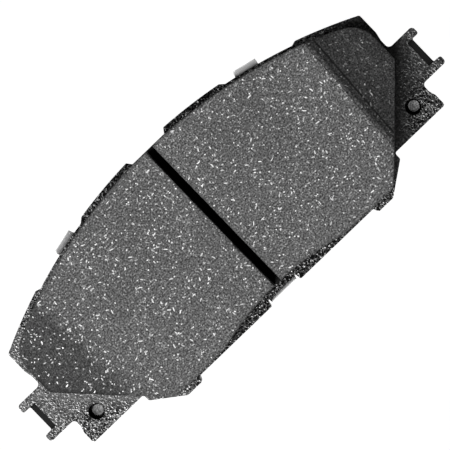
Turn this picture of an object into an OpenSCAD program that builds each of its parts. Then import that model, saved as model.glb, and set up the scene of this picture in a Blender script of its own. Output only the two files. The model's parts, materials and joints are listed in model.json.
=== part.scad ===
// Front disc brake pad with forked ears, a slotted and chamfered lining and two clip-on shims.
// The pad lies on its back: +X runs along the pad, +Y towards the disc's rim, +Z towards the disc.
// The origin is at the centre of the pad's outline, on the back face of the outer shim.

/* [Backing plate] */
// Length over the fork tips
overall_l = 155; // [153:0.5:158]
// Thickness of the steel plate
plate_t = 6; // [5:0.25:6.5]
// Radius of the outer rim
rim_r = 158; // [150:1:170]
// Height of the outer rim's crown above the origin
rim_y = 29.9; // [29.5:0.1:30.3]
// Half length of the plate's body, between the ears
body_hl = 69; // [68:0.25:70]
// Depth of the pockets that the shim's upper clips sit in
pocket_depth = 0.95; // [0.6:0.05:1.2]
// Height of the flat recess in the middle of the rim
crown_recess_y = 28.25; // [27.8:0.05:28.6]
// Height of the straight inner edge
base_y = -28.05; // [-28.4:0.05:-27.8]
// Height of the recess that the shim's lower clip sits in
lower_recess_y = -26.15; // [-26.4:0.05:-25.9]
// Height of the two feet at the ends of the inner edge
foot_y = -29.7; // [-29.9:0.05:-29.4]

/* [Ears] */
// Upper face of the fork
fork_top_y = 1.55; // [1:0.05:2]
// Lower face of the fork
fork_bottom_y = -12.35; // [-12.6:0.05:-12]
// Height of the notch between the fork's prongs
notch_h = 8.85; // [8:0.05:9.5]
// Depth of the notch
notch_depth = 2.1; // [1.5:0.1:3]
// Width and depth of the bevel on the front of the notch
notch_bevel = [2.15, 3.2]; // [0:0.05:4]
// Lower face of the lug under the fork
lug_y = -20.9; // [-21.5:0.1:-20.5]
// Centre of the spring socket, from the middle of the pad
socket_at = [62.1, -15.05]; // [-65:0.05:65]
// Diameter of the spring socket
socket_d = 4.7; // [4:0.1:5]
// Depth of the spring socket
socket_depth = 1.4; // [1:0.1:3]

/* [Friction material] */
// Thickness of the friction lining
lining_t = 8.8; // [6:0.1:10]
// Thickness of the insulating underlayer
underlayer_t = 2; // [1:0.1:3]
// Thickness of the bond film on the plate
film_t = 0.2; // [0.1:0.05:0.3]
// Half length of the lining
lining_hl = 67.3; // [65.5:0.1:67.5]
// Width of the slot between the two lining blocks
slot_w = 2.3; // [1.5:0.1:4]
// Distance of the slot from the middle of the pad
slot_x = 0.45; // [-1:0.05:1]
// Distance from the middle of the pad to the start of the end chamfers
chamfer_x = 50.4; // [48:0.1:58]
// Slope of the end chamfers, in degrees
chamfer_slope = 18; // [10:1:22]
// Turn of the chamfer's edge towards the disc's centre, in degrees
chamfer_turn = 3; // [0:0.5:5]
// Diameter of the anchor holes that the underlayer fills
anchor_d = 11; // [8:0.5:12]

/* [Shims] */
// Thickness of the stainless outer shim
cover_t = 0.5; // [0.4:0.05:0.8]
// Thickness of the damping shim's steel core
core_t = 0.4; // [0.3:0.05:0.8]
// Thickness of the rubber on each face of the core
rubber_t = 0.12; // [0.1:0.01:0.25]
// Gap between a clip and the plate's edge
clip_gap = 0.1; // [0.05:0.05:0.2]
// Width of the cover shim's two upper clips
upper_clip_w = 7.5; // [5:0.1:9]
// Distance from the middle of the pad to each upper clip
upper_clip_x = 35.5; // [34:0.1:44]
// Width of the cover shim's lower clip
lower_clip_w = 9.8; // [6:0.1:10.4]
// Outward flare of the tips of the cover shim's upper clips
upper_flare = 1.5; // [0:0.05:1.5]
// Outward flare of the tip of the lower clip
lower_flare = 0.75; // [0:0.05:0.8]

/* [Hidden] */

$fn = 64;
eps = 0.01;
corner_steps = 6;

// Heights of the layers, from the back of the outer shim to the lining's face
core_z = cover_t + rubber_t;
plate_z = cover_t + core_t + 2 * rubber_t;
face_z = plate_z + plate_t;
underlayer_z = face_z + film_t;
lining_z = underlayer_z + underlayer_t;

// Ear and edge dimensions that follow from the driving ones
ear_tip_x = overall_l / 2;
notch_x = ear_tip_x - notch_depth;
notch_top_y = fork_top_y - 2.65;
notch_bottom_y = notch_top_y - notch_h;
neck_x = body_hl - 0.55;
lug_neck_x = body_hl - 0.7;
lug_x = body_hl - 0.1;
lug_inner_x = 49.3;
crown_recess_hl = 6.6;
pocket_ends = [27.7, 50.3];
lower_recess_hl = 5.5;
foot_ends = [34.4, 40.2];

// The lining's rim, inner edge and corners
lining_rim_r = 155;
lining_rim_y = 27.7;
lining_arch_r = 88;
lining_arch_y = -24;
lining_base_y = -27.4;
lining_corner_x = 41.8;
lining_side_y = -1.9;
underlayer_lip = 0.35;
anchors = [[20, 3], [-20, 3], [45.5, -4], [-45.5, -4]];
anchor_recess = 0.3;

// The shims' common outline, how far the cover stays inside the damping shim, and the clips' heights
shim_edge_gap = 0.15;
shim_hl = 64.5;
shim_base_y = -27.3;
cover_inset = 0.4;
upper_clip_z = 5.7;
lower_clip_z = 6.1;
clip_root = 4;
lip_roll = 60;
clip_corner_r = 0.9;

// Height of an arc of radius r with its crown at y, at a distance x from the middle
function arc_y(x, r, y) = y - r + sqrt(r * r - x * x);

// Points along that arc from x0 to x1, with square corners
function arc_points(x0, x1, r, y, steps) =
    [for (i = [0:steps]) let (x = x0 + (x1 - x0) * i / steps) [x, arc_y(x, r, y), 0]];

function unit(v) = v / norm(v);

function flat_point(p) = [p[0], p[1]];

// The corner b between its neighbours a and c, as an arc of radius b[2]
function rounded_corner(a, b, c) =
    let (
        towards_a = unit(flat_point(a) - flat_point(b)),
        towards_c = unit(flat_point(c) - flat_point(b)),
        half = acos(towards_a * towards_c) / 2,
        centre = flat_point(b) + unit(towards_a + towards_c) * b[2] / sin(half),
        first = flat_point(b) + towards_a * b[2] / tan(half) - centre,
        last = flat_point(b) + towards_c * b[2] / tan(half) - centre,
        start = atan2(first[1], first[0]),
        sweep = (atan2(last[1], last[0]) - start + 540) % 360 - 180
    )
    [for (i = [0:corner_steps]) let (t = start + sweep * i / corner_steps) centre + b[2] * [cos(t), sin(t)]];

// An outline of [x, y, corner radius] points as plain points
function rounded(path) =
    let (n = len(path))
    [for (i = [0:n - 1]) each
        path[i][2] == 0
            ? [flat_point(path[i])]
            : rounded_corner(path[(i + n - 1) % n], path[i], path[(i + 1) % n])];

// A right half, listed from the top to the bottom, with its mirror image
function mirrored(half) =
    let (n = len(half))
    concat(half, [for (i = [n - 1:-1:0]) [-half[i][0], half[i][1], half[i][2]]]);

// Right half of the plate: rim with its pockets, side, fork, lug, foot and inner edge
function plate_half() = concat(
    [
        [crown_recess_hl - 0.4, crown_recess_y, 0.5],
        [crown_recess_hl + 0.7, arc_y(crown_recess_hl + 0.7, rim_r, rim_y), 0.4]
    ],
    arc_points(crown_recess_hl + 2, pocket_ends[0] - 1.6, rim_r, rim_y, 10),
    [
        [pocket_ends[0] - 0.7, arc_y(pocket_ends[0] - 0.7, rim_r, rim_y), 0.5],
        [pocket_ends[0] + 0.7, arc_y(pocket_ends[0] + 0.7, rim_r, rim_y - pocket_depth), 0.5]
    ],
    arc_points(pocket_ends[0] + 2, pocket_ends[1] - 1.8, rim_r, rim_y - pocket_depth, 10),
    [
        [pocket_ends[1] - 0.9, arc_y(pocket_ends[1] - 0.9, rim_r, rim_y - pocket_depth), 0.6],
        [pocket_ends[1] + 0.6, arc_y(pocket_ends[1] + 0.6, rim_r, rim_y), 0.6]
    ],
    arc_points(pocket_ends[1] + 2, body_hl - 2, rim_r, rim_y, 8),
    [
        [body_hl, arc_y(body_hl, rim_r, rim_y), 0.8],
        [body_hl, 7.3, 3],
        [neck_x, 4.6, 3],
        [neck_x, fork_top_y, 1.3],
        [ear_tip_x, fork_top_y, 1.1],
        [ear_tip_x, notch_top_y, 0.6],
        [notch_x, notch_top_y, 0.45],
        [notch_x, notch_bottom_y, 0.45],
        [ear_tip_x, notch_bottom_y, 0.6],
        [ear_tip_x, fork_bottom_y, 1],
        [lug_neck_x, fork_bottom_y, 1.2],
        [lug_neck_x, -15.1, 2],
        [lug_x, -17, 2],
        [lug_x, lug_y, 0.7],
        [lug_inner_x, lug_y, 0.7],
        [lug_inner_x, -23.1, 0.9],
        [foot_ends[1], foot_y, 1.6],
        [foot_ends[0] + 0.35, foot_y, 0.6],
        [foot_ends[0] - 0.35, base_y, 0.5],
        [lower_recess_hl + 0.15, base_y, 0.4],
        [lower_recess_hl - 0.15, lower_recess_y, 0.4]
    ]
);

// Right half of the friction material, drawn outwards by grow
function lining_half(grow) = concat(
    arc_points(0.4, lining_hl - 10, lining_rim_r + grow, lining_rim_y + grow, 24),
    [
        [lining_hl + grow, arc_y(lining_hl, lining_rim_r + grow, lining_rim_y + grow), 8.5 + grow],
        [lining_hl + grow, lining_side_y - grow / 2, 2 + grow],
        [lining_corner_x + grow / 2, lining_base_y - grow, 3 + grow],
    ],
    [for (x = [23:-4:3]) [x, arc_y(x, lining_arch_r - grow, lining_arch_y - grow), 0]]
);

// Right half of the shims, drawn inwards by inset. Its rim follows the floor of the plate's pockets.
function shim_half(inset) = let (crown = rim_y - pocket_depth - shim_edge_gap - inset) concat(
    [
        [crown_recess_hl + 0.2, crown_recess_y - shim_edge_gap - inset, 0.5],
        [crown_recess_hl + 1.2, arc_y(crown_recess_hl + 1.2, rim_r, crown), 0.5]
    ],
    arc_points(crown_recess_hl + 2.5, shim_hl - 6, rim_r, crown, 20),
    [
        [shim_hl - inset, arc_y(shim_hl, rim_r, crown), 4],
        [shim_hl - inset, -2, 3],
        [45 - inset, -22 + inset, 4],
        [40 - inset, shim_base_y + inset, 3],
        [lower_recess_hl + 1.4 + inset, shim_base_y + inset, 0.5],
        [lower_recess_hl + 0.6 + inset, lower_recess_y + shim_edge_gap + inset, 0.5]
    ]
);

// Grease windows of the damping shim, as pairs of end centres
grease_windows = [for (side = [-1, 1], row = [-1, 1], x = [14, 30, 46]) [side * x, row * 8 - 1 - x * x / 320]];

module plate_slab(z, t) translate([0, 0, z]) linear_extrude(t) polygon(rounded(mirrored(plate_half())));

module lining_slab(z, t, grow) translate([0, 0, z]) linear_extrude(t) polygon(rounded(mirrored(lining_half(grow))));

module shim_slab(z, t, inset) translate([0, 0, z]) linear_extrude(t) polygon(rounded(mirrored(shim_half(inset))));

module anchor_holes(z, h) for (at = anchors) translate([at[0], at[1], z]) cylinder(d = anchor_d, h = h);

// The wedge that bevels the front of the right fork's notch
module notch_wedge()
    translate([0, notch_top_y, 0]) rotate([90, 0, 0]) linear_extrude(notch_h) polygon([
        [notch_x - notch_bevel[0], face_z],
        [notch_x + eps, face_z - notch_bevel[1]],
        [notch_x + 1, face_z - notch_bevel[1]],
        [notch_x + 1, face_z + 1],
        [notch_x - notch_bevel[0], face_z + 1]
    ]);

module backing_plate() color("#242426") difference() {
    plate_slab(plate_z, plate_t);
    anchor_holes(plate_z - 1, plate_t + 2);
    for (side = [0, 1]) mirror([side, 0, 0]) {
        translate([socket_at[0], socket_at[1], face_z - socket_depth]) cylinder(d = socket_d, h = socket_depth + 1);
        notch_wedge();
    }
}

module bond_film() color("#7a4a24") difference() {
    lining_slab(face_z, film_t, underlayer_lip);
    anchor_holes(face_z - 1, film_t + 2);
}

module underlayer() color("#4a443e") union() {
    lining_slab(underlayer_z, underlayer_t, underlayer_lip);
    anchor_holes(plate_z + anchor_recess, plate_t + film_t - anchor_recess + eps);
}

// Everything above the right chamfer's slope
module chamfer_cut()
    translate([chamfer_x, 0, lining_z + lining_t]) rotate([0, 0, -chamfer_turn])
        rotate([0, chamfer_slope, 0]) translate([0, -50, 0]) cube([40, 100, 20]);

// The lining from x = start to the right
module lining_block(start) difference() {
    intersection() {
        lining_slab(lining_z, lining_t, 0);
        translate([start, -50, lining_z - 1]) cube([80, 100, lining_t + 2]);
    }
    chamfer_cut();
}

module right_lining() color("#55565a") lining_block(slot_w / 2 + slot_x);

module left_lining() color("#55565a") mirror([1, 0, 0]) lining_block(slot_w / 2 - slot_x);

// Section of a clip: x is the distance outside the plate's edge and y is the height
function clip_section(top_z, flare) =
    let (
        centre = [0, cover_t + clip_gap],
        turns = [for (i = [0:corner_steps]) 90 * i / corner_steps],
        rolls = [for (i = [0:corner_steps]) lip_roll * i / corner_steps],
        roll_r = flare / (1 - cos(lip_roll)),
        roll_z = top_z - roll_r * sin(lip_roll)
    )
    concat(
        [[-clip_root, 0]],
        [for (a = turns) centre + (clip_gap + cover_t) * [sin(a), -cos(a)]],
        [
            for (a = rolls)
                [clip_gap + cover_t + (roll_r - cover_t) * (1 - cos(a)), roll_z + (roll_r - cover_t) * sin(a)]
        ],
        [
            for (i = [corner_steps:-1:0])
                [clip_gap + roll_r * (1 - cos(rolls[i])), roll_z + roll_r * sin(rolls[i])]
        ],
        [for (i = [corner_steps:-1:0]) centre + clip_gap * [sin(turns[i]), -cos(turns[i])]],
        [[-clip_root, cover_t]]
    );

// The face of a clip of width w and height top_z, with round upper corners
function clip_face(w, top_z) = rounded([
    [-w / 2, -1, 0],
    [w / 2, -1, 0],
    [w / 2, top_z, clip_corner_r],
    [-w / 2, top_z, clip_corner_r]
]);

// A clip of width w on an edge that lies at y = edge, facing +Y
module clip(w, edge, top_z, flare) intersection() {
    translate([w / 2, edge, 0]) rotate([90, 0, -90]) mirror([1, 0, 0]) linear_extrude(w)
        polygon(clip_section(top_z, flare));
    translate([0, edge + 10, 0]) rotate([90, 0, 0]) linear_extrude(20) polygon(clip_face(w, top_z));
}

// One layer of the damping shim, with its grease windows
module damping_layer(z, t) difference() {
    shim_slab(z, t, 0);
    for (at = grease_windows) translate([at[0], at[1], z - 1]) cylinder(d = 5, h = t + 2);
}

module damping_shim_front_rubber() color("#1b1b1c") damping_layer(core_z + core_t, rubber_t);

module damping_shim_core() color("#8d9094") damping_layer(core_z, core_t);

module damping_shim_back_rubber() color("#1b1b1c") damping_layer(cover_t, rubber_t);

module cover_shim() color("#c9ccd0") {
    turn = asin(upper_clip_x / rim_r);
    union() {
        difference() {
            shim_slab(0, cover_t, cover_inset);
            for (side = [-1, 1]) translate([side * 22, -1, -1]) cylinder(d = 9, h = cover_t + 2);
        }
        for (side = [-1, 1]) translate([0, rim_y - pocket_depth - rim_r, 0]) rotate([0, 0, -side * turn])
            clip(upper_clip_w, rim_r, upper_clip_z, upper_flare);
        rotate([0, 0, 180]) clip(lower_clip_w, -lower_recess_y, lower_clip_z, lower_flare);
    }
}

backing_plate();
bond_film();
underlayer();
left_lining();
right_lining();
damping_shim_core();
damping_shim_front_rubber();
damping_shim_back_rubber();
cover_shim();
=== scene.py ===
"""The looks of the disc brake pad: lining blocks with their fibres, coated plate, shims, light and camera."""

import json
import math
import random

import bmesh
import bpy
import numpy as np
from mathutils import Matrix, Vector, geometry, noise


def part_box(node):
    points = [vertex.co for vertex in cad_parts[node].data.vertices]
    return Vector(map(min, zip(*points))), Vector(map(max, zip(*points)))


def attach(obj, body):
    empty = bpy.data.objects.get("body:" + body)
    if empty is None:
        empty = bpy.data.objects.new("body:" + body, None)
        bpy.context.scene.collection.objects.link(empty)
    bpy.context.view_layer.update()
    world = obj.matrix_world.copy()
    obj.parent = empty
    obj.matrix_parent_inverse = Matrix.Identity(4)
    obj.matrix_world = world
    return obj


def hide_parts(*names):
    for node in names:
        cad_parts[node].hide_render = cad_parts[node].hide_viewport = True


MM = 0.001

# Lining blocks
EDGE_SPACING = 0.5 * MM  # between points along a block's outline
EDGE_RADIUS = 0.32 * MM  # of the worn edge round its face
EDGE_STEPS = 4
WALL_ROWS = 9
CRUMBLE_GRAIN = 900  # noise cells per metre
CRUMBLE_DEPTH = 0.035 * MM  # mean depth of the side walls' roughness
WORN_DEPTH = 0.03 * MM  # added to it towards the worn edge
CHIP_GRAIN = 520
CHIP_STRETCH = 0.3  # a lower value makes the chips taller
CHIP_LEVEL = 0.28  # a higher level leaves fewer chips in the worn edge
CHIP_DEPTH = 0.9 * MM
WAVE_GRAIN = 300
WAVE_DEPTH = 0.012 * MM  # of the face's slight waves
CHIP_PLACE, WAVE_PLACE = 7, 3  # metres along the noise, so that chips and waves don't follow the crumble
CREASE_BLEND = {"left_lining": 0.3 * MM, "right_lining": 0.06 * MM}  # how softly the chamfer starts
SHADED_EDGE_LININGS = ("left_lining",)  # whose chamfer's worn edge is painted black, as shade
EDGE_SHADE_FROM = 3  # mm past the chamfer's start
EDGE_SHADE_TOP = 3 * MM  # how far up that painted shade goes
EDGE_SHADE_LAST = 0.7  # how black that painted shade is at the face

# The net of points on a block's face
FACE_SPACING = 1.1 * MM
ROW_SPACING = 0.87 * FACE_SPACING
FACE_JITTER = 0.2  # how far a point strays from its row, in spacings
NET_MARGIN = 0.45 * FACE_SPACING  # kept free inside the worn edge
CREASE_MARGIN = 0.35 * FACE_SPACING  # the same for the row of points along the chamfer's start
CREASE_GAP = 0.1 * FACE_SPACING  # kept free beside that row, as a height on the chamfer
CREASE_POINTS = 60  # to each side of the row's middle, enough to cross the block

# Fibres, their sizes in mm and their bend in radians
FIBRES_PER_MM2 = 0.62
FIBRE_MARGIN = 0.7 * MM  # left free along the block's outline
CLUMP_GRAIN = 130
LONG_SHARE = 0.24
LONG_FIBRE = {"length": (0.65, 1.3), "width": (0.26, 0.38), "bend": 0.9, "steps": 4}
SHORT_FIBRE = {"length": (0.34, 0.6), "width": (0.3, 0.46), "bend": 0, "steps": 2}
FIBRE_TAPER = 0.8
FIBRE_SIDES = (-0.06 * MM, 0.022 * MM)  # its underside and upper side, against the face
CHAMFER_FIBRES = {"left_lining": 0.65, "right_lining": 0.35}  # share of the fibres left in a ground chamfer
CHAMFER_FIBRE_PAINTED_SHADE = 0.75  # painted shade: how bright the fibres in a chamfer are, against those in the flat face

# The plate's coat, in mm
COAT_FADE = 10 / 3  # over which one kind of coat passes into another
SIDES_END = 34  # |x| up to which the ridges along the linings' long sides are thin and carry brighter painted glints
CORNER_START = 30  # |x| past which a lining has its slanting lower corner
CALM_WIDTH = 6  # of the smoother coat along that corner
CALM_FADE = 4
LUG_START = 44  # |x| from which that smoother coat lies
LUG_TOP = 4  # y up to which it lies
EAR_START = 60  # |x| from which the ears' coat is smoother
EAR_LOW = -13  # y from which it is smoother
LINE_X = -68.8  # the faint dark line down the left ear
LINE_Y = (-11, 1)
LINE_FADE = 2
LINE_HALF_WIDTH = 0.25
SOCKET_SHADE_RIM = 0.2  # how far the painted shade of a spring socket reaches past its wall
SOCKET_SHADE_RISE = 0.3  # and above its floor
SOCKET_SHADE_RING = 0.75  # width of the ring of painted shade between a socket's wall and its bare floor
BARE_SHIFT = 0.35  # of the bare floors towards +X, so that the painted shade is widest on their -X side, as a shadow crescent

# Rounding that stamping leaves on the edges
PLATE_EDGE = 0.28 * MM
SHEET_EDGE = 0.08 * MM

# Camera: over the friction face, turned so that +X points up to the right
CAMERA_TURN = math.radians(-43.95)
CAMERA_AIM = Vector((0.73, -2.26, 0)) * MM
CAMERA_TILT = math.radians(1.5)
CAMERA_DISTANCE = 560 * MM
CAMERA_WIDTH = 127.15 * MM  # what the picture's side covers on the plate's front
CAMERA_SENSOR = 36

# Light: a broad soft box off the pad's left end, and a weak even surround
KEY_FROM = Vector((-0.77, -0.16, 0.61))
KEY_DISTANCE = 1.6  # metres
KEY_SIZE = (1.6, 0.85)
KEY_POWER = 59
SURROUND = 0.035

# A weak lamp over the right upper clip, which the lining keeps in its shadow
FILL_AT = Vector((38, 30, 45)) * MM
FILL_TO = Vector((35.5, 27, 5)) * MM
FILL_SIZE = 20 * MM
FILL_POWER = 0.0105

# Pale sheet under the pad
FLOOR_SIZE = 3  # metres
FLOOR_DROP = 0.02 * MM
FLOOR_GLOW = 1.0


# ---------------------------------------------------------------- outlines


def back_outline(node):
    """The outline of a node's flat back, as a closed loop of points with the material on their left."""
    back_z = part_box(node)[0].z
    bm = bmesh.new()
    bm.from_mesh(cad[node].data)
    bmesh.ops.remove_doubles(bm, verts=bm.verts, dist=1e-6)
    flat = [f for f in bm.faces if f.normal.z < -0.999 and abs(f.calc_center_median().z - back_z) < 1e-5]
    after = {}
    for f in flat:
        for corner in f.loops:
            if sum(g in flat for g in corner.edge.link_faces) == 1:
                # The back faces down, so its corners run the other way round
                a, b = corner.link_loop_next.vert.co, corner.vert.co
                after[(round(a.x, 7), round(a.y, 7))] = (round(b.x, 7), round(b.y, 7))
    bm.free()
    loop = [min(after)]
    while after[loop[-1]] != loop[0]:
        loop.append(after[loop[-1]])
    return np.array(loop)


def spaced(loop, spacing):
    """The loop with its long edges divided."""
    points = []
    for a, b in zip(loop, np.roll(loop, -1, axis=0)):
        steps = max(1, round(np.linalg.norm(b - a) / spacing))
        points += [a + (b - a) * i / steps for i in range(steps)]
    return np.array(points)


def inset(loop, distance):
    """The loop moved to its left, into the material."""
    ahead = np.roll(loop, -1, axis=0) - loop
    ahead /= np.linalg.norm(ahead, axis=1)[:, None]
    normal = np.stack([-ahead[:, 1], ahead[:, 0]], axis=1)
    before = np.roll(normal, 1, axis=0)
    middle = normal + before
    middle /= np.linalg.norm(middle, axis=1)[:, None]
    cosine = np.clip((middle * normal).sum(axis=1), 0.5, 1)
    distance = np.broadcast_to(distance, len(loop))
    return loop + middle * (distance / cosine)[:, None]


def inside(points, loop):
    """Which of the points lie inside the loop."""
    x, y = points[:, :1], points[:, 1:]
    a, b = loop, np.roll(loop, -1, axis=0)
    crosses = (a[:, 1] > y) != (b[:, 1] > y)
    with np.errstate(divide="ignore", invalid="ignore"):
        at = a[:, 0] + (y - a[:, 1]) / (b[:, 1] - a[:, 1]) * (b[:, 0] - a[:, 0])
    return (crosses & (x < at)).sum(axis=1) % 2 == 1


# ---------------------------------------------------------------- lining blocks


class Lining:
    """A lining's measures, from its CAD node, and its own source of random numbers."""

    def __init__(self, node):
        self.node = node
        self.low, self.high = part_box(node)
        self.rng = random.Random(node)
        self.outline = spaced(back_outline(node), EDGE_SPACING)
        slanting = [p for p in cad[node].data.polygons if 0.8 < p.normal.z < 0.99]
        chamfer = max(slanting, key=lambda p: p.area)
        self.centre = chamfer.center.copy()
        self.normal = chamfer.normal.copy()

    def slope(self, x, y):
        """Height of the chamfer's plane."""
        centre, normal = self.centre, self.normal
        return centre.z - (normal.x * (x - centre.x) + normal.y * (y - centre.y)) / normal.z

    def height(self, x, y):
        """Height of the face, which passes softly into the chamfer."""
        level, sloped = self.high.z, self.slope(x, y)
        return (level + sloped - math.hypot(level - sloped, CREASE_BLEND[self.node])) / 2

    def reach(self, x, y):
        """How many mm past the chamfer's start a point is."""
        return (self.high.z - self.slope(x, y)) / math.tan(math.acos(self.normal.z)) / MM


def wall_rings(lining):
    """The rough side walls, then the worn edge, as rings of points from the back up to the face."""
    low, high, outline = lining.low, lining.high, lining.outline
    rings = [(low.z + (high.z - EDGE_RADIUS - low.z) * i / WALL_ROWS, 0.0) for i in range(WALL_ROWS + 1)]
    for i in range(1, EDGE_STEPS + 1):
        a = math.radians(90 * i / EDGE_STEPS)
        rings.append((high.z - EDGE_RADIUS * (1 - math.sin(a)), EDGE_RADIUS * (1 - math.cos(a))))
    points = []
    for k, (z, inward) in enumerate(rings):
        crumble = np.array([noise.noise(Vector((x, y, z)) * CRUMBLE_GRAIN) for x, y in outline])
        chip_z = CHIP_PLACE + z * CHIP_STRETCH
        chips = np.array([noise.noise(Vector((x, y, chip_z)) * CHIP_GRAIN) for x, y in outline])
        worn = max(0, k - WALL_ROWS + 1) / (EDGE_STEPS + 1)
        moved = inward + (CRUMBLE_DEPTH + WORN_DEPTH * worn) * (crumble + 1)
        moved += (chips - CHIP_LEVEL).clip(0) * worn * CHIP_DEPTH
        points += [(x, y, z) for x, y in inset(outline, moved if k else 0)]
    return points


def face_net(lining, rim):
    """Points inside the rim: a row along the chamfer's start, and an uneven net over the rest of the face."""
    low, high, rng = lining.low, lining.high, lining.rng
    net = []
    for row, y in enumerate(np.arange(low.y, high.y, ROW_SPACING)):
        for x in np.arange(low.x, high.x, FACE_SPACING):
            stray_x = rng.uniform(-FACE_JITTER, FACE_JITTER) * FACE_SPACING
            stray_y = rng.uniform(-FACE_JITTER, FACE_JITTER) * FACE_SPACING
            net.append((x + (row % 2) * FACE_SPACING / 2 + stray_x, y + stray_y))
    net = np.array(net)
    net = net[inside(net, inset(rim, NET_MARGIN))]
    drop = np.array([high.z - lining.slope(x, y) for x, y in net])
    net = net[np.abs(drop) > CREASE_GAP]

    downhill = lining.normal.xy
    along = Vector((-downhill.y, downhill.x)).normalized()
    rise = (high.z - lining.centre.z) * lining.normal.z
    start = lining.centre.xy - downhill / downhill.length_squared * rise
    crease = np.array([start + along * t * FACE_SPACING for t in range(-CREASE_POINTS, CREASE_POINTS + 1)])
    crease = crease[inside(crease, inset(rim, CREASE_MARGIN))]
    return crease, net


def mark_zones(lining, mesh):
    """Stores on each point how far past the chamfer's start it is, and how black its wall or worn edge is:
    overspray on the walls, painted shade along the worn edge.
    """
    n = len(lining.outline)
    reach, wall, edge = [], [], []
    for i, vertex in enumerate(mesh.vertices):
        x, y = vertex.co.xy
        ring = i // n - WALL_ROWS  # 0 where the worn edge starts, above EDGE_STEPS on the face
        reach.append(lining.reach(x, y))
        # Walls are painted black for the coat's overspray; the black fades over the worn edge, where it also
        # paints a thin line of shade round the face
        wall.append(0 if ring > EDGE_STEPS else min(1, 1 - (ring - 1) / EDGE_STEPS))
        # The left chamfer's worn edge gets a black line of painted shade
        edge_shaded = lining.node in SHADED_EDGE_LININGS and reach[i] > EDGE_SHADE_FROM and y < EDGE_SHADE_TOP
        edge.append(min(1, EDGE_STEPS + EDGE_SHADE_LAST - ring) if edge_shaded and 0 <= ring <= EDGE_STEPS else 0)
    for name, values in (("reach", reach), ("wall", wall), ("edge", edge)):
        mesh.attributes.new(name, "FLOAT", "POINT").data.foreach_set("value", values)


def make_block(lining):
    """A lining block as pressed and ground: rough walls, a worn edge, a chamfered face with slight waves."""
    low, high = lining.low, lining.high
    n = len(lining.outline)
    verts = wall_rings(lining)
    faces = []
    for below in range(0, len(verts) - n, n):
        for i in range(n):
            j = (i + 1) % n
            faces.append((below + i, below + j, below + n + j, below + n + i))

    rim = np.array([v[:2] for v in verts[-n:]])
    crease, net = face_net(lining, rim)
    points = [Vector(p) for p in np.concatenate([rim, crease, net])]
    edges = [(i, (i + 1) % n) for i in range(n)]
    edges += [(n + i, n + i + 1) for i in range(len(crease) - 1)]
    made, _, triangles, _, _, _ = geometry.delaunay_2d_cdt(points, edges, [], 1, 1e-7)
    if len(made) != len(points):
        raise RuntimeError(f"{lining.node}: the face's net lost points")
    base = len(verts) - n
    for p in made[n:]:
        wave = noise.noise(Vector((p.x, p.y, WAVE_PLACE)) * WAVE_GRAIN)
        verts.append((p.x, p.y, high.z + WAVE_DEPTH * wave))
    faces += [tuple(base + i for i in t) for t in triangles]
    faces.append(tuple(range(n - 1, -1, -1)))

    # The chamfer lowers each column of points towards the block's back
    depth = high.z - low.z
    verts = [(x, y, low.z + (z - low.z) * (lining.height(x, y) - low.z) / depth) for x, y, z in verts]
    mesh = bpy.data.meshes.new(lining.node + "_block")
    mesh.from_pydata(verts, [], faces)
    mesh.validate()
    mark_zones(lining, mesh)
    return new_object(lining.node + "_block", mesh)


def fibre_places(lining):
    """Where fibres lie: in loose clumps, and fewer in the chamfer, whose grinding has pulled some out."""
    low, high, rng = lining.low, lining.high, lining.rng
    count = int(FIBRES_PER_MM2 * (high.x - low.x) * (high.y - low.y) / MM**2)
    tries = np.array([(rng.uniform(low.x, high.x), rng.uniform(low.y, high.y)) for _ in range(count)])
    places = []
    for x, y in tries[inside(tries, inset(lining.outline, FIBRE_MARGIN))]:
        crowd = 0.75 + 0.8 * noise.noise(Vector((x, y, 0)) * CLUMP_GRAIN)
        if rng.random() < crowd:
            if lining.slope(x, y) > high.z or rng.random() < CHAMFER_FIBRES[lining.node]:
                places.append((x, y))
    return places


def make_fibres(lining):
    """Short bright fibres and chips lying in a lining's face, some of them slightly bent."""
    rng = lining.rng
    verts, faces, shades = [], [], []
    for x, y in fibre_places(lining):
        kind = LONG_FIBRE if rng.random() < LONG_SHARE else SHORT_FIBRE
        length = rng.uniform(*kind["length"]) * MM
        width = rng.uniform(*kind["width"]) * MM
        turn = rng.uniform(0, math.pi)
        bend = rng.uniform(-kind["bend"], kind["bend"]) if kind["bend"] else 0
        # Fibres in a chamfer are dimmed as painted shade
        shade = rng.random() * (1 if lining.slope(x, y) > lining.high.z else CHAMFER_FIBRE_PAINTED_SHADE)
        steps = kind["steps"]
        first = len(verts)
        # Each step adds four points: the underside and the upper side, on the right and on the left
        for i in range(steps + 1):
            t = i / steps - 0.5
            a = turn + bend * t
            run, bow = length * t, bend * length * (t * t - 0.25) / 2
            px = x + math.cos(turn) * run - math.sin(turn) * bow
            py = y + math.sin(turn) * run + math.cos(turn) * bow
            half = width / 2 * math.sqrt(1 - FIBRE_TAPER * (2 * t) ** 2)
            for side in (-1, 1):
                qx, qy = px - math.sin(a) * half * side, py + math.cos(a) * half * side
                verts += [(qx, qy, lining.height(qx, qy) + z) for z in FIBRE_SIDES]
        for a in range(first, first + 4 * steps, 4):
            b = a + 4
            faces += [(a + 1, b + 1, b + 3, a + 3), (a, a + 2, b + 2, b)]
            faces += [(a, b, b + 1, a + 1), (a + 2, a + 3, b + 3, b + 2)]
        last = first + 4 * steps
        faces += [(first, first + 1, first + 3, first + 2), (last, last + 2, last + 3, last + 1)]
        shades += [shade] * (4 * steps + 2)
    mesh = bpy.data.meshes.new(lining.node + "_fibres")
    mesh.from_pydata(verts, [], faces)
    mesh.attributes.new("shade", "FLOAT", "FACE").data.foreach_set("value", shades)
    return new_object(lining.node + "_fibres", mesh)


# ---------------------------------------------------------------- objects


def new_object(name, data):
    obj = bpy.data.objects.new(name, data)
    bpy.context.scene.collection.objects.link(obj)
    return obj


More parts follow.
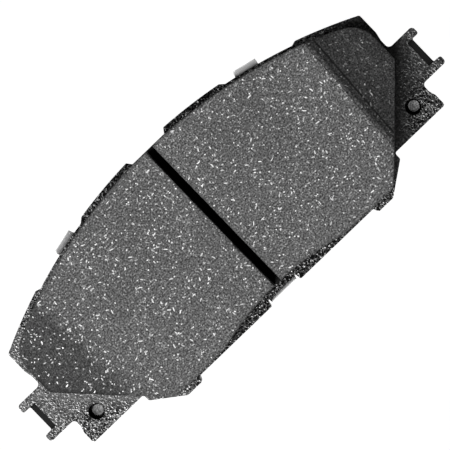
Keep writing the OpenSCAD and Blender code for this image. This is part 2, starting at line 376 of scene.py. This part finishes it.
def soften(node, width, segments):
    """Rounds a CAD node's edges slightly, as stamping does, with modifiers only."""
    modifiers = cad[node].modifiers
    weld = modifiers.new("weld", "WELD")
    weld.merge_threshold = 1e-6
    merge = modifiers.new("merge", "DECIMATE")
    merge.decimate_type = "DISSOLVE"
    merge.angle_limit = math.radians(0.5)
    bevel = modifiers.new("bevel", "BEVEL")
    bevel.width = width
    bevel.segments = segments
    bevel.limit_method = "ANGLE"
    bevel.angle_limit = math.radians(35)


def use_material(obj, material):
    obj.data.materials.clear()
    obj.data.materials.append(material)


# ---------------------------------------------------------------- materials


class Nodes:
    """A material's node tree, with short names for the nodes used here."""

    def __init__(self, name):
        self.material = bpy.data.materials.new(name)
        self.material.use_nodes = True
        self.tree = self.material.node_tree
        self.shader = self.tree.nodes["Principled BSDF"]
        to_mm = self.add("ShaderNodeVectorMath", operation="SCALE")
        self.put(self.add("ShaderNodeTexCoord").outputs["Object"], to_mm.inputs[0])
        to_mm.inputs["Scale"].default_value = 1 / MM
        self.mm = to_mm.outputs[0]

    def add(self, kind, **settings):
        node = self.tree.nodes.new(kind)
        for key, value in settings.items():
            setattr(node, key, value)
        return node

    def put(self, value, socket):
        if isinstance(value, bpy.types.NodeSocket):
            self.tree.links.new(value, socket)
        else:
            socket.default_value = value

    def math(self, operation, a, b=0.0, clamp=False):
        node = self.add("ShaderNodeMath", operation=operation, use_clamp=clamp)
        self.put(a, node.inputs[0])
        self.put(b, node.inputs[1])
        return node.outputs[0]

    def product(self, first, *others):
        for value in others:
            first = self.math("MULTIPLY", first, value)
        return first

    def largest(self, first, *others):
        for value in others:
            first = self.math("MAXIMUM", first, value)
        return first

    def hypotenuse(self, a, b):
        return self.math("SQRT", self.math("ADD", self.product(a, a), self.product(b, b)))

    def fade(self, value, start, length):
        """0 up to the start and 1 from a length past it; a negative length fades towards lower values."""
        return self.math("MULTIPLY", self.math("SUBTRACT", value, start), 1 / length, clamp=True)

    def noise(self, scale, detail=2.0, roughness=0.5, vector=None, distortion=0.0):
        node = self.add("ShaderNodeTexNoise")
        self.put(vector or self.mm, node.inputs["Vector"])
        node.inputs["Scale"].default_value = scale
        node.inputs["Detail"].default_value = detail
        node.inputs["Roughness"].default_value = roughness
        node.inputs["Distortion"].default_value = distortion
        return node.outputs["Fac"]

    def ridges(self, scale, width, distortion):
        """Winding crests where a noise passes its middle: 1 on a crest, 0 where the noise is off by width."""
        value = self.noise(scale, 1.0, 0.4, distortion=distortion)
        off = self.math("ABSOLUTE", self.math("SUBTRACT", value, 0.5))
        return self.math("SUBTRACT", 1.0, self.math("DIVIDE", off, width), clamp=True)

    def cells(self, scale):
        """The distance from the nearest of many scattered points, and that point's own random colour."""
        node = self.add("ShaderNodeTexVoronoi")
        self.put(self.mm, node.inputs["Vector"])
        node.inputs["Scale"].default_value = scale
        return node.outputs["Distance"], node.outputs["Color"]

    def axes(self):
        """The point's x, y and z in millimetres."""
        node = self.add("ShaderNodeSeparateXYZ")
        self.put(self.mm, node.inputs[0])
        return node.outputs

    def ramp(self, value, *stops):
        """A colour ramp of (place, grey) stops."""
        node = self.add("ShaderNodeValToRGB")
        elements = node.color_ramp.elements
        while len(elements) < len(stops):
            elements.new(0.5)
        for element, (place, shade) in zip(elements, stops):
            element.position = place
            element.color = grey(shade)
        self.put(value, node.inputs["Fac"])
        return node.outputs["Color"]

    def profile(self, value, start, end, *stops):
        """A grey that follows a value in mm, by (mm, grey) stops between start and end."""
        along = self.fade(value, start, end - start)
        return self.ramp(along, *(((mm - start) / (end - start), shade) for mm, shade in stops))

    def mix(self, factor, a, b, blend="MIX"):
        node = self.add("ShaderNodeMix", data_type="RGBA", blend_type=blend)
        self.put(factor, node.inputs["Factor"])
        self.put(a, node.inputs[6])
        self.put(b, node.inputs[7])
        return node.outputs[2]

    def shaded(self, colour, shade):
        return self.mix(1.0, colour, shade, "MULTIPLY")

    def attribute(self, name):
        return self.add("ShaderNodeAttribute", attribute_name=name).outputs["Fac"]

    def bump(self, height, distance, strength):
        node = self.add("ShaderNodeBump")
        self.put(height, node.inputs["Height"])
        node.inputs["Distance"].default_value = distance
        node.inputs["Strength"].default_value = strength
        return node.outputs["Normal"]

    def finish(self, **inputs):
        for name, value in inputs.items():
            self.put(value, self.shader.inputs[name.replace("_", " ")])
        return self.material


def grey(value, tint=(1, 1, 1)):
    return (value * tint[0], value * tint[1], value * tint[2], 1)


def friction_material(side):
    """Ground friction composite: grey binder, dark coke grains, small bright specks, chamfers darker partly
    in their own tone and partly with painted shade.
    """
    m = Nodes(side + "_friction_composite")
    fine = m.noise(2.1, 0.5, 0.5)
    base = m.ramp(fine, (0.3, 0.03), (0.45, 0.085), (0.6, 0.13), (0.75, 0.24))
    grain, _ = m.cells(1.9)
    base = m.shaded(base, m.ramp(grain, (0.2, 0.35), (0.36, 1.0)))
    from_speck, chance = m.cells(1.7)
    chosen = m.math("GREATER_THAN", chance, 0.72)
    near = m.math("LESS_THAN", from_speck, 0.26)
    base = m.mix(m.product(chosen, near, 0.85), base, grey(0.45))
    base = m.shaded(base, m.ramp(m.noise(0.045, 2), (0.35, 0.93), (0.65, 1.07)))

    # The ground chamfer's darker grey, by the distance in mm past its start: partly the composite's own tone
    # and partly painted shade, set for each side against how its chamfer faces the key light. The right one
    # brightens away from its start, painted shading of a curved grind, and has two narrow dark bands
    reach = m.attribute("reach")
    if side == "left":
        ground = m.profile(
            reach, -6, 19, (-6, 1.0), (-3, 0.92), (-1, 0.75), (1, 0.46), (2.5, 0.3), (5, 0.34), (10, 0.31),
            (15, 0.27),
        )
    else:
        ground = m.profile(
            reach, 0, 20, (0, 1.0), (0.16, 0.5), (0.4, 0.85), (0.9, 0.8), (1.2, 0.45), (1.5, 0.3), (2, 0.3),
            (2.24, 0.55), (2.5, 0.5), (2.64, 0.1), (3, 0.1), (3.2, 0.45), (6, 0.48), (10, 0.66), (16, 0.5),
        )
    base = m.shaded(base, ground)

    # Overspray of the plate's coat blackens the side walls, and their black fades over the worn edge as a
    # thin line of painted shade; the left chamfer's worn edge is painted black too, as shade
    base = m.mix(m.attribute("wall"), base, m.ramp(fine, (0.3, 0.012), (0.7, 0.05)))
    painted_edge_shade = m.product(m.attribute("edge"), m.ramp(m.noise(1.2, 2), (0.35, 0.55), (0.55, 1.0)))
    base = m.mix(painted_edge_shade, base, grey(0.002))
    relief = m.math("ADD", fine, m.product(grain, 0.5))
    return m.finish(
        Base_Color=base, Roughness=0.82, Specular_IOR_Level=0.2, Normal=m.bump(relief, 0.06 * MM, 0.9)
    )


def fibre_material():
    """Bright fibres, from dull to nearly white."""
    m = Nodes("fibre")
    colour = m.ramp(m.attribute("shade"), (0.0, 0.2), (0.5, 0.36), (0.72, 0.75), (1.0, 1.0))
    colour = m.shaded(colour, m.ramp(m.noise(2.6, 2), (0.35, 0.65), (0.6, 1.0)))
    return m.finish(Base_Color=colour, Roughness=0.4)


def slanting_corner():
    """The right lining's slanting lower corner edge: a point on it and its direction, in mm."""
    loop = back_outline("right_lining") / MM
    ahead = np.roll(loop, -1, axis=0) - loop
    slant = (ahead[:, 0] * ahead[:, 1] > 0) & (loop[:, 1] < 0) & (loop[:, 0] > CORNER_START)
    i = max(np.flatnonzero(slant), key=lambda i: np.linalg.norm(ahead[i]))
    return loop[i], ahead[i] / np.linalg.norm(ahead[i])


def coat_calm(m, out, y):
    """How far the coat's ridges are smoothed: beside the linings' slanting corners, and on the ears."""
    (at_x, at_y), (along_x, along_y) = slanting_corner()
    off_x = m.product(m.math("SUBTRACT", out, at_x), along_y)
    off_y = m.product(m.math("SUBTRACT", y, at_y), -along_x)
    beside = m.fade(m.math("ADD", off_x, off_y), CALM_WIDTH, -CALM_FADE)
    lug = m.product(m.fade(out, LUG_START, CALM_FADE), m.fade(y, LUG_TOP, -COAT_FADE))
    ear = m.product(m.fade(y, EAR_LOW, COAT_FADE), m.fade(out, EAR_START, COAT_FADE))
    return m.largest(m.product(beside, lug, 0.6), m.product(ear, 0.4))


def ear_line(m, x, y):
    """The faint dark line down the left ear."""
    off = m.math("ABSOLUTE", m.math("SUBTRACT", x, LINE_X))
    across = m.fade(off, LINE_HALF_WIDTH, -LINE_HALF_WIDTH)
    return m.product(across, m.fade(y, LINE_Y[0], LINE_FADE), m.fade(y, LINE_Y[1], -LINE_FADE))


def socket_shade_and_bare_masks(m, node, x, y, z):
    """Where the spring sockets get painted shade, and where their floors are bare metal."""
    socket = next(mount for mount in frame["record"]["mounts"] if mount["name"] == "right_spring_socket")
    at_x, at_y = (value / MM for value in socket["pos_m"][:2])
    radius, depth = socket["dims"]["r_mm"], socket["dims"]["length_mm"]
    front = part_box(node)[1].z / MM
    deep = m.math("LESS_THAN", z, front - depth + SOCKET_SHADE_RISE)
    masks = []
    for shift, reach in ((0, radius + SOCKET_SHADE_RIM), (BARE_SHIFT, radius - SOCKET_SHADE_RING)):
        off_x = m.math("SUBTRACT", m.math("ABSOLUTE", m.math("SUBTRACT", x, shift)), at_x)
        off_y = m.math("SUBTRACT", y, at_y)
        masks.append(m.product(m.math("LESS_THAN", m.hypotenuse(off_x, off_y), reach), deep))
    return masks


def notch_mask(m, node, out, y):
    """Where the bevels and floors of the forks' notches are."""
    mesh = cad[node].data
    bevels = [p for p in mesh.polygons if 0.1 < p.normal.z < 0.9 and p.normal.x > 0.5]
    corners = [mesh.vertices[i].co / MM for p in bevels for i in p.vertices]
    beyond = m.math("GREATER_THAN", out, min(c.x for c in corners))
    above = m.math("GREATER_THAN", y, min(c.y for c in corners))
    below = m.math("LESS_THAN", y, max(c.y for c in corners))
    return m.product(beyond, above, below)


def powder_coat_material(node):
    """Coarse black powder coat with a crust of worm-like ridges whose bright crests are painted glints, bare
    metal in the sockets, and painted shade round their floors.
    """
    m = Nodes("powder_coat")
    x, y, z = m.axes()
    out = m.math("ABSOLUTE", x)
    fine = m.noise(3.4, 2)
    calm = coat_calm(m, out, y)
    socket, bare = socket_shade_and_bare_masks(m, node, x, y, z)
    notch = notch_mask(m, node, out, y)

    # Ridges of uneven height, thinner along the linings' long sides; their bright crest colour is a painted
    # glint of light on the ridges, brighter along those sides
    sides = m.fade(out, SIDES_END, -COAT_FADE)
    lumps = m.ramp(m.cells(1.35)[0], (0.25, 1.0), (0.6, 0.3))
    crest = m.product(lumps, m.ridges(1.15, 0.13, 0.4))
    crest = m.math("POWER", crest, m.math("ADD", m.product(sides, 0.9), 1.0))
    crust = m.mix(crest, m.mix(sides, grey(0.012), grey(0.006)), m.mix(sides, grey(0.58), grey(1.0)))
    colour = m.mix(calm, crust, grey(0.2))
    colour = m.shaded(colour, m.ramp(fine, (0.3, 0.6), (0.7, 1.3)))
    colour = m.mix(m.product(ear_line(m, x, y), 0.7), colour, grey(0.01))

    # Sockets painted black as shade round a bare floor, that floor painted lighter on the right, which lies
    # in shadow, than on the left, which the key light reaches; and black notches
    patchy = m.noise(2.2, 1)
    left_floor_painted_darker = m.ramp(patchy, (0.35, 0.07), (0.65, 0.26))
    right_floor_painted_lighter = m.ramp(patchy, (0.35, 0.14), (0.65, 0.55))
    colour = m.mix(socket, colour, grey(0.006))
    colour = m.mix(bare, colour, m.mix(m.math("GREATER_THAN", x, 0), left_floor_painted_darker, right_floor_painted_lighter))
    colour = m.mix(notch, colour, m.ramp(fine, (0.3, 0.004), (0.7, 0.012)))

    ridged = m.math("SUBTRACT", 1.0, m.largest(calm, notch, bare))
    relief = m.product(m.math("ADD", crest, m.product(fine, 0.4)), ridged)
    rough = m.math("ADD", m.product(notch, 0.3), m.ramp(fine, (0.3, 0.38), (0.7, 0.5)))
    metal = m.largest(notch, m.product(m.math("SUBTRACT", 1.0, bare), 0.85))
    return m.finish(Base_Color=colour, Metallic=metal, Roughness=rough, Normal=m.bump(relief, 0.16 * MM, 1.0))


def steel_sheet_material(name, dark, light, roughness, metallic):
    """Rolled sheet with fine lines along X and a few stains."""
    m = Nodes(name)
    stretch = m.add("ShaderNodeMapping")
    m.put(m.mm, stretch.inputs["Vector"])
    stretch.inputs["Scale"].default_value = (0.06, 3.2, 3.2)
    lines = m.noise(2.2, 3, 0.6, vector=stretch.outputs["Vector"])
    colour = m.ramp(lines, (0.3, dark), (0.7, light))
    colour = m.shaded(colour, m.ramp(m.noise(0.18, 3), (0.3, 0.85), (0.7, 1.0)))
    rough = m.ramp(lines, (0.3, roughness - 0.08), (0.7, roughness + 0.08))
    return m.finish(
        Base_Color=colour, Metallic=metallic, Roughness=rough, Normal=m.bump(lines, 0.01 * MM, 0.5)
    )


def rubber_material():
    """Matt black rubber with a fine speckle."""
    m = Nodes("shim_rubber")
    speckle = m.noise(3.0, 3)
    colour = m.ramp(speckle, (0.3, 0.014), (0.7, 0.035))
    return m.finish(Base_Color=colour, Roughness=0.75, Normal=m.bump(speckle, 0.02 * MM, 0.6))


def underlayer_material():
    """Nearly black pressed insulation with pale crumbs; its black also paints the shade of the thin gap round
    the linings' base.
    """
    m = Nodes("underlayer")
    fine = m.noise(1.6, 3, 0.6)
    colour = m.ramp(fine, (0.3, 0.003), (0.7, 0.02))
    crumb = m.math("LESS_THAN", m.cells(1.1)[0], 0.1)
    colour = m.mix(m.product(crumb, 0.3), colour, grey(0.2, (1, 0.93, 0.84)))
    return m.finish(
        Base_Color=colour, Roughness=0.9, Specular_IOR_Level=0.2, Normal=m.bump(fine, 0.06 * MM, 0.9)
    )


def adhesive_material():
    """Brown film, blotchy and half glossy."""
    m = Nodes("adhesive")
    blotch = m.noise(0.7, 3)
    colour = m.mix(blotch, grey(0.03, (1, 0.6, 0.35)), grey(0.09, (1, 0.6, 0.35)))
    return m.finish(Base_Color=colour, Roughness=0.35, Normal=m.bump(blotch, 0.03 * MM, 0.6))


def floor_material():
    """Pale sheet with a glow of its own, so that it stays white."""
    m = Nodes("floor")
    return m.finish(
        Base_Color=grey(0.8), Roughness=0.9, Emission_Color=grey(1.0), Emission_Strength=FLOOR_GLOW
    )


# ---------------------------------------------------------------- stage, light and camera


def make_floor():
    bpy.ops.mesh.primitive_plane_add(size=FLOOR_SIZE, location=(0, 0, -FLOOR_DROP))
    floor = bpy.context.object
    floor.name = "floor"
    use_material(floor, floor_material())
    return floor


def make_lamp(name, place, towards, power, receivers):
    """An area lamp that lights only the receivers."""
    data = bpy.data.lights.new(name, "AREA")
    data.energy = power
    lamp = new_object(name, data)
    lamp.location = place
    lamp.rotation_euler = towards.to_track_quat("-Z", "Y").to_euler()
    lit = bpy.data.collections.new("lit_by_" + name)
    for obj in receivers:
        lit.objects.link(obj)
    lamp.light_linking.receiver_collection = lit
    return lamp


def make_world():
    """A weak even light all round, in place of which the camera sees white."""
    world = bpy.data.worlds.new("surround")
    world.use_nodes = True
    tree = world.node_tree
    light = tree.nodes["Background"]
    seen = tree.nodes.new("ShaderNodeBackground")
    for background, strength in ((light, SURROUND), (seen, 1.0)):
        background.inputs["Color"].default_value = grey(1.0)
        background.inputs["Strength"].default_value = strength
    choose = tree.nodes.new("ShaderNodeMixShader")
    path = tree.nodes.new("ShaderNodeLightPath")
    tree.links.new(path.outputs["Is Camera Ray"], choose.inputs[0])
    tree.links.new(light.outputs[0], choose.inputs[1])
    tree.links.new(seen.outputs[0], choose.inputs[2])
    tree.links.new(choose.outputs[0], tree.nodes["World Output"].inputs["Surface"])
    return world


def make_camera():
    data = bpy.data.cameras.new("camera")
    data.sensor_width = CAMERA_SENSOR
    data.lens = CAMERA_SENSOR * CAMERA_DISTANCE / CAMERA_WIDTH
    camera = new_object("camera", data)
    aim = CAMERA_AIM + Vector((0, 0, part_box("backing_plate")[1].z))
    back = Vector((math.sin(CAMERA_TILT), 0, math.cos(CAMERA_TILT)))
    up = Vector((-math.sin(CAMERA_TURN), math.cos(CAMERA_TURN), 0))
    right = up.cross(back).normalized()
    camera.matrix_world = Matrix((right, back.cross(right), back)).transposed().to_4x4()
    camera.location = aim + back * CAMERA_DISTANCE
    return camera


# ---------------------------------------------------------------- the pad and its stage

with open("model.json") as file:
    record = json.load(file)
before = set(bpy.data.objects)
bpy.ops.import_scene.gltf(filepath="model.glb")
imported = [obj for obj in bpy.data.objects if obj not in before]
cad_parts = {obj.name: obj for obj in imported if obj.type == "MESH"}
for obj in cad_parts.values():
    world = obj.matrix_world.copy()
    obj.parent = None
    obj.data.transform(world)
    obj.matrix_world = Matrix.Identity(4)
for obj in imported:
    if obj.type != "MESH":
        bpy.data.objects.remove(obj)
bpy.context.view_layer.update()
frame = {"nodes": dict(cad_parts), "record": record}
cad = frame["nodes"]

fibre = fibre_material()
for side in ("left", "right"):
    lining = Lining(side + "_lining")
    block = make_block(lining)
    use_material(block, friction_material(side))
    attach(block, "pad")
    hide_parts(lining.node)
    fibres = make_fibres(lining)
    use_material(fibres, fibre)
    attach(fibres, "pad")

soften("backing_plate", PLATE_EDGE, 3)
soften("cover_shim", SHEET_EDGE, 2)
rubber = rubber_material()
use_material(cad["backing_plate"], powder_coat_material("backing_plate"))
use_material(cad["underlayer"], underlayer_material())
use_material(cad["bond_film"], adhesive_material())
use_material(cad["damping_shim_core"], steel_sheet_material("shim_core", 0.32, 0.42, 0.45, 0.9))
use_material(cad["damping_shim_front_rubber"], rubber)
use_material(cad["damping_shim_back_rubber"], rubber)
use_material(cad["cover_shim"], steel_sheet_material("stainless", 0.66, 0.82, 0.42, 0.3))

# The floor rides on the outermost shim, so that it never hides a shim taken off
pieces = [obj for obj in bpy.context.scene.objects if obj.type == "MESH"]
floor = make_floor()
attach(floor, "outer_cover")

key = make_lamp("key", KEY_FROM.normalized() * KEY_DISTANCE, -KEY_FROM, KEY_POWER, pieces)
key.data.shape = "RECTANGLE"
key.data.size, key.data.size_y = KEY_SIZE
fill = make_lamp("fill", FILL_AT, FILL_TO - FILL_AT, FILL_POWER, [cad["cover_shim"]])
fill.data.size = FILL_SIZE
fill.visible_camera = False

bpy.context.scene.world = make_world()
bpy.context.scene.camera = make_camera()
bpy.context.scene.view_settings.view_transform = "Standard"
